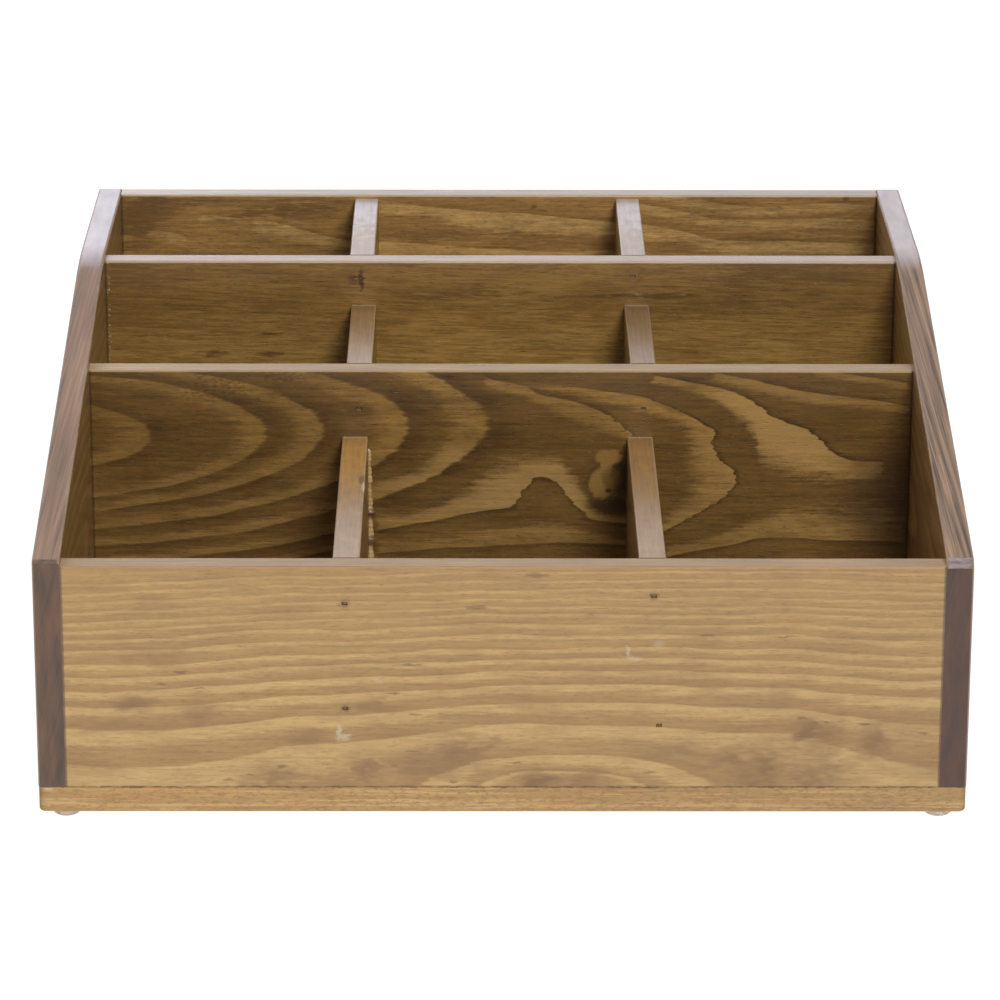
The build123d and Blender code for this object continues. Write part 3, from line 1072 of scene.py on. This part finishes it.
def grid_piece(name, points, material, around=False):
    """A mesh from a grid of points, rows by columns by 3, in metres. Rows that go around close on
    themselves, and the first and the last of them are closed by one face each."""
    rows, columns, _ = points.shape
    index = np.arange(rows * columns).reshape(rows, columns)
    after = np.roll(index, -1, axis=1) if around else index[:, 1:]
    here = index if around else index[:, :-1]
    faces = np.stack([here[:-1], after[:-1], after[1:], here[1:]], axis=-1).reshape(-1, 4).tolist()
    if around:
        faces += [index[0, ::-1].tolist(), index[-1].tolist()]
    mesh = bpy.data.meshes.new(name)
    mesh.from_pydata(points.reshape(-1, 3).tolist(), [], faces)
    mesh.shade_smooth()
    mesh.materials.append(material)
    piece = bpy.data.objects.new(name, mesh)
    bpy.context.scene.collection.objects.link(piece)
    return piece


BUMPER_SIDES = 64
BUMPER_RINGS = 22
BUMPER_FLAT = 0.58
BUMPER_SKIRT = 1.1 * MM
BUMPER_POWER = 2.3


def domed_bumper(node, material):
    """Formula: turned round its axis, the profile goes from the foot's flat out to its skirt as a
    quarter of a superellipse, radius against height, and then up the skirt."""
    low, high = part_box(node)
    middle = (low + high) / 2
    radius = (high.x - low.x) / 2
    dome = high.z - low.z - BUMPER_SKIRT
    turn = np.linspace(0, pi / 2, BUMPER_RINGS)
    flat = radius * BUMPER_FLAT
    out = flat + (radius - flat) * np.sin(turn) ** (2 / BUMPER_POWER)
    out = np.concatenate([out, [radius]])
    up = dome * (1 - np.cos(turn) ** (2 / BUMPER_POWER))
    up = np.concatenate([up, [dome + BUMPER_SKIRT]])
    angle = np.linspace(0, 2 * pi, BUMPER_SIDES, endpoint=False)
    points = np.stack(
        [
            middle.x + out[:, None] * np.cos(angle)[None, :],
            middle.y + out[:, None] * np.sin(angle)[None, :],
            low.z + np.repeat(up[:, None], BUMPER_SIDES, axis=1),
        ],
        axis=-1,
    )
    piece = grid_piece("domed_" + node, points, material, around=True)
    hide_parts(node)
    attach(piece, "root")


# The bead of squeezed glue, in millimetres and shares
GLUE_TOP = 110
GLUE_FOOT = 14
GLUE_WIDTH = 3
GLUE_TAPER = 1.7
GLUE_THINNEST = 0.05
GLUE_END_SHARE = 0.02
GLUE_DEPTH_SHARE = 0.55
GLUE_ROWS = 260
GLUE_ARC_POINTS = 9

# The waves along the bead: how far each swells it, its length for each radian, and its start
GLUE_WAVES = ((0.25, 2.1, 0), (0.18, 0.83, 1), (0.12, 1 / 2.9, 0))


def glue_bead(material):
    """Formula: a quarter of a round bar runs up the corner between a divider and a panel. Its
    width swells and shrinks along the run as a sum of waves, and it thins out at both ends."""
    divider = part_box("front_left_divider")
    panel_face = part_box("middle_panel")[0].y
    rise = np.linspace(GLUE_FOOT, GLUE_TOP, GLUE_ROWS)
    share = (rise - GLUE_FOOT) / (GLUE_TOP - GLUE_FOOT)
    swell = sum(size * np.sin(rise / length + start) for size, length, start in GLUE_WAVES)
    drops = sum(size * np.exp(-((rise - at) / reach) ** 2) for at, reach, size in GLUE_DROPS)
    width = (GLUE_WIDTH - GLUE_TAPER * share + swell + drops) * MM
    ends = np.minimum(1, np.minimum(share, 1 - share) / GLUE_END_SHARE) ** 0.5
    width = np.maximum(width * ends, GLUE_THINNEST * MM)
    # The corner itself comes first in each row, and then the arc
    arc = np.concatenate([[0], np.ones(GLUE_ARC_POINTS)])
    angle = np.concatenate([[0], np.linspace(0, pi / 2, GLUE_ARC_POINTS)])
    x = divider[1].x + width[:, None] * (arc * np.cos(angle))[None, :]
    y = panel_face - GLUE_DEPTH_SHARE * width[:, None] * (arc * np.sin(angle))[None, :]
    z = np.repeat((UNDERSIDE + rise * MM)[:, None], len(arc), axis=1)
    points = np.stack([x, y, z], axis=-1)[:, ::-1]
    piece = grid_piece("squeezed_glue", points, material, around=True)
    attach(piece, "root")


# The studio: a pale light table that reaches far past the object, and an open white sky

TABLE_REACH = 30
TABLE_CELLS = 24


def light_table():
    """Formula: a flat sheet of square cells at height 0, reaching evenly to all sides."""
    finish = Finish("pale_light_table")
    x, y, z = finish.places()
    tone = finish.fade(finish.noise(x / 900, y / 900, 0), -1, 1)
    colour = finish.mix(tone, (0.14, 0.14, 0.14, 1), (0.16, 0.16, 0.16, 1))
    material = finish.close(
        colour, 0.9, Emission_Color=(1, 1, 1, 1), Emission_Strength=1, Specular_IOR_Level=0
    )
    line = np.linspace(-TABLE_REACH, TABLE_REACH, TABLE_CELLS + 1)
    across, away = np.meshgrid(line, line)
    points = np.stack([across, away, np.zeros_like(across)], axis=-1)
    table = grid_piece("light_table", points, material)


def white_sky(level, overhead, glow, glow_top, glow_foot):
    """The sky has a level all round, and more overhead. It glows near the horizon behind the
    object, like a lit sweep behind a table."""
    finish = Finish("white_sky", bpy.data.worlds)
    bpy.context.scene.world = finish.made
    x, y, z = finish.parts(finish.add("ShaderNodeTexCoord", {}, {}))
    sweep = finish.fade(z, glow_top, glow_foot) * finish.fade(y, 0.2, 0.7)
    leftward = finish.fade(x, 0.3, -0.3) + 0.4
    strength = sweep * leftward * glow + finish.fade(z, 0.35, 0.95) * overhead + level
    shade = finish.add(
        "ShaderNodeBackground", {}, {"Color": (0.93, 0.95, 1.05, 1), "Strength": strength}
    )
    finish.add("ShaderNodeOutputWorld", {}, {"Surface": shade})


def soft_lamp(name, place, target, side, power, colour):
    lamp = bpy.data.lights.new(name, "AREA")
    lamp.shape = "SQUARE"
    lamp.size = side
    lamp.energy = power
    lamp.color = colour
    stand = bpy.data.objects.new(name, lamp)
    stand.location = place
    stand.rotation_euler = (Vector(target) - Vector(place)).to_track_quat("-Z", "Y").to_euler()
    bpy.context.scene.collection.objects.link(stand)


CAMERA_PLACE = (-0.0129, -2.1060, 0.7974)
LOOK_DOWN = radians(18.829)
LOOK_RIGHT = radians(0.343)
ROLL = radians(0.155)
SENSOR = 36
FOCAL_PIXELS = 4697.5
PICTURE_WIDTH = 1000


def stand_camera():
    lens = bpy.data.cameras.new("camera")
    lens.sensor_width = SENSOR
    lens.lens = FOCAL_PIXELS / PICTURE_WIDTH * SENSOR
    camera = bpy.data.objects.new("camera", lens)
    camera.matrix_world = (
        Matrix.Translation(CAMERA_PLACE)
        @ Matrix.Rotation(-LOOK_RIGHT, 4, "Z")
        @ Matrix.Rotation(pi / 2 - LOOK_DOWN, 4, "X")
        @ Matrix.Rotation(ROLL, 4, "Z")
    )
    bpy.context.scene.collection.objects.link(camera)
    bpy.context.scene.camera = camera


dress(["front_panel"], panel_wood(
    "tan_front_pine", "front_panel", TAN, 3, draw_front,
    rim_colour=(168, 132, 86), arris_wear_and_highlight=(168, 136, 98),
))
dress(["middle_panel"], panel_wood(
    "olive_middle_pine", "middle_panel", OLIVE, 7, draw_middle,
    rim_colour=(184, 150, 101), arris_wear_and_highlight=(188, 157, 110), rim_left=0.28,
))
dress(["rear_panel"], panel_wood(
    "olive_rear_pine", "rear_panel", REAR_STAIN, 11, draw_rear,
    rim_colour=(182, 158, 134), arris_wear_and_highlight=(206, 186, 158),
))
dress(["back_panel"], panel_wood(
    "brown_back_pine", "back_panel", BACK_STAIN, 17, draw_back,
    rim_colour=(174, 153, 128), arris_wear_and_highlight=(200, 184, 160), rim_left=0.5,
))
dress(["base_board"], base_board_wood())
dress(["left_side"], side_board_wood(
    "stained_left_pine", -1, 23, LEFT_SAWING,
    figure=1, inner_light=0.12, nose_dark=(0.08, -40, -190),
    end_shown=(107, 84, 71), slope_shown=(154, 124, 101),
    level_shown=(202, 188, 188), bevel_shown=(100, 78, 66),
))
dress(["right_side"], side_board_wood(
    "stained_right_pine", 1, 29, RIGHT_SAWING,
    figure=1.5, inner_light=0.55, nose_dark=(0.18, 10, -70),
    end_shown=(92, 71, 56), slope_shown=(146, 118, 94),
    level_shown=(190, 174, 170), bevel_shown=(120, 106, 110),
))

# The colours of the dividers' tops, at the back and at the front, partly painted reflection, and the share
# of the dark heel, a painted reflection of the panel behind
DIVIDER_TOPS = {
    "front_left_divider": ((184, 138, 72), (176, 146, 113), 0.2),
    "front_right_divider": ((154, 114, 60), (170, 139, 104), 0.2),
    "middle_left_divider": ((150, 114, 68), (180, 150, 116), 0.5),
    "middle_right_divider": ((132, 100, 60), (160, 132, 102), 0.5),
    "rear_left_divider": ((204, 191, 188), (182, 154, 130), 0.1),
    "rear_right_divider": ((196, 180, 174), (178, 151, 128), 0.1),
}
for seed, (divider, tops) in enumerate(DIVIDER_TOPS.items()):
    dress([divider], divider_wood(divider, seed, *tops))

dress([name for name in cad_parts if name.endswith("_brads")], brad_steel())

rubber = clear_rubber()
for foot in sorted(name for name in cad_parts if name.endswith("_foot")):
    domed_bumper(foot, rubber)
glue_bead(dried_glue())

light_table()
white_sky(level=0.30, overhead=0.25, glow=1.9, glow_top=0.42, glow_foot=0.22)
soft_lamp(
    "soft_key", place=(0.56, -1.54, 1.57), target=(0, 0, 0.08), side=0.7, power=32,
    colour=(1, 0.98, 0.94),
)
stand_camera()
bpy.context.scene.view_settings.view_transform = "Standard"
